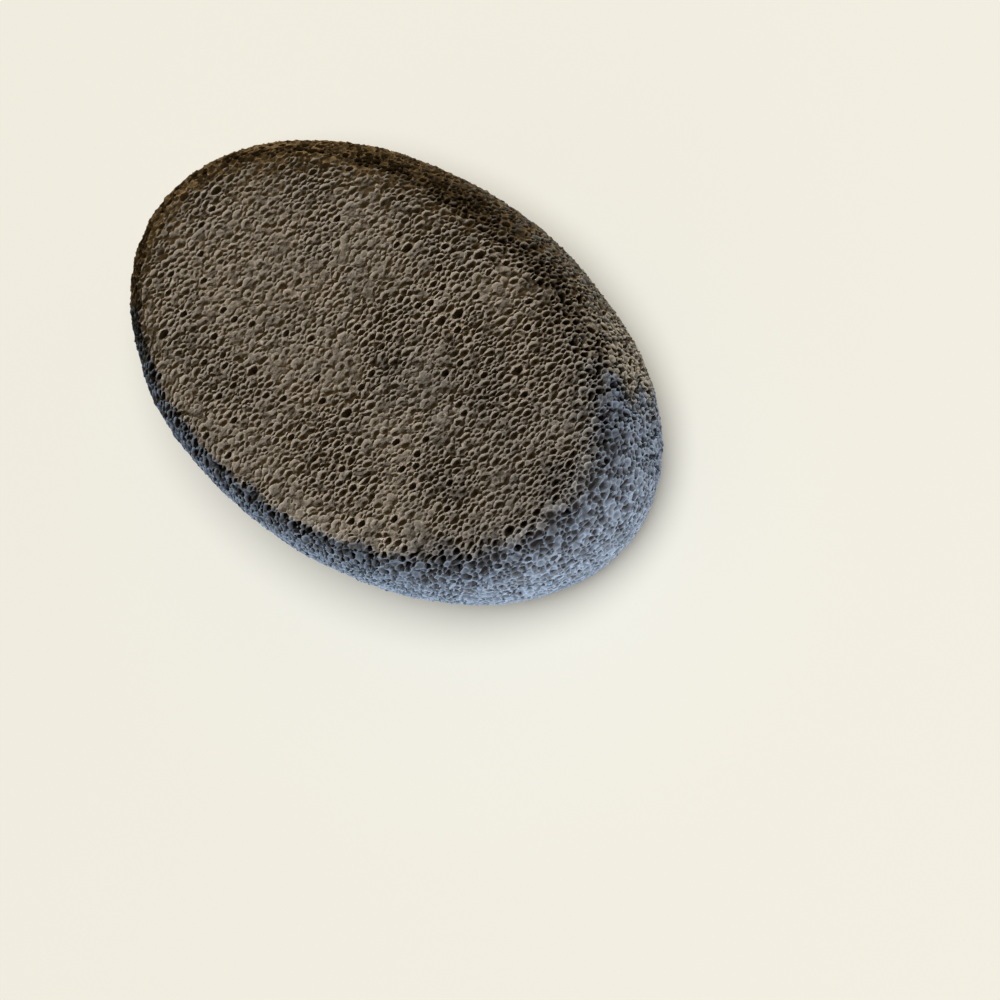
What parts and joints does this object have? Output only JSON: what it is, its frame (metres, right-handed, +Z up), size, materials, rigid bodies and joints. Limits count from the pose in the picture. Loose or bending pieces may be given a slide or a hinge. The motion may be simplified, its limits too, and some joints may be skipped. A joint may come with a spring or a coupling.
{
  "type": "pumice stone",
  "caption": "Oval foot stone of dark porous pumice with flat faces and rounded sides, ground flat underneath so that it rests steadily.",
  "frame": {"origin": "on the ground under the middle of the stone", "axes": "+X along the length, +Y along the width, +Z up through the thickness"},
  "size_m": [0.1, 0.069, 0.038],
  "materials": {
    "pumice": "dry, matt, rough open pores"
  },
  "bodies": {
    "root": {"pumice_stone": "pumice"}
  },
  "joints": []
}
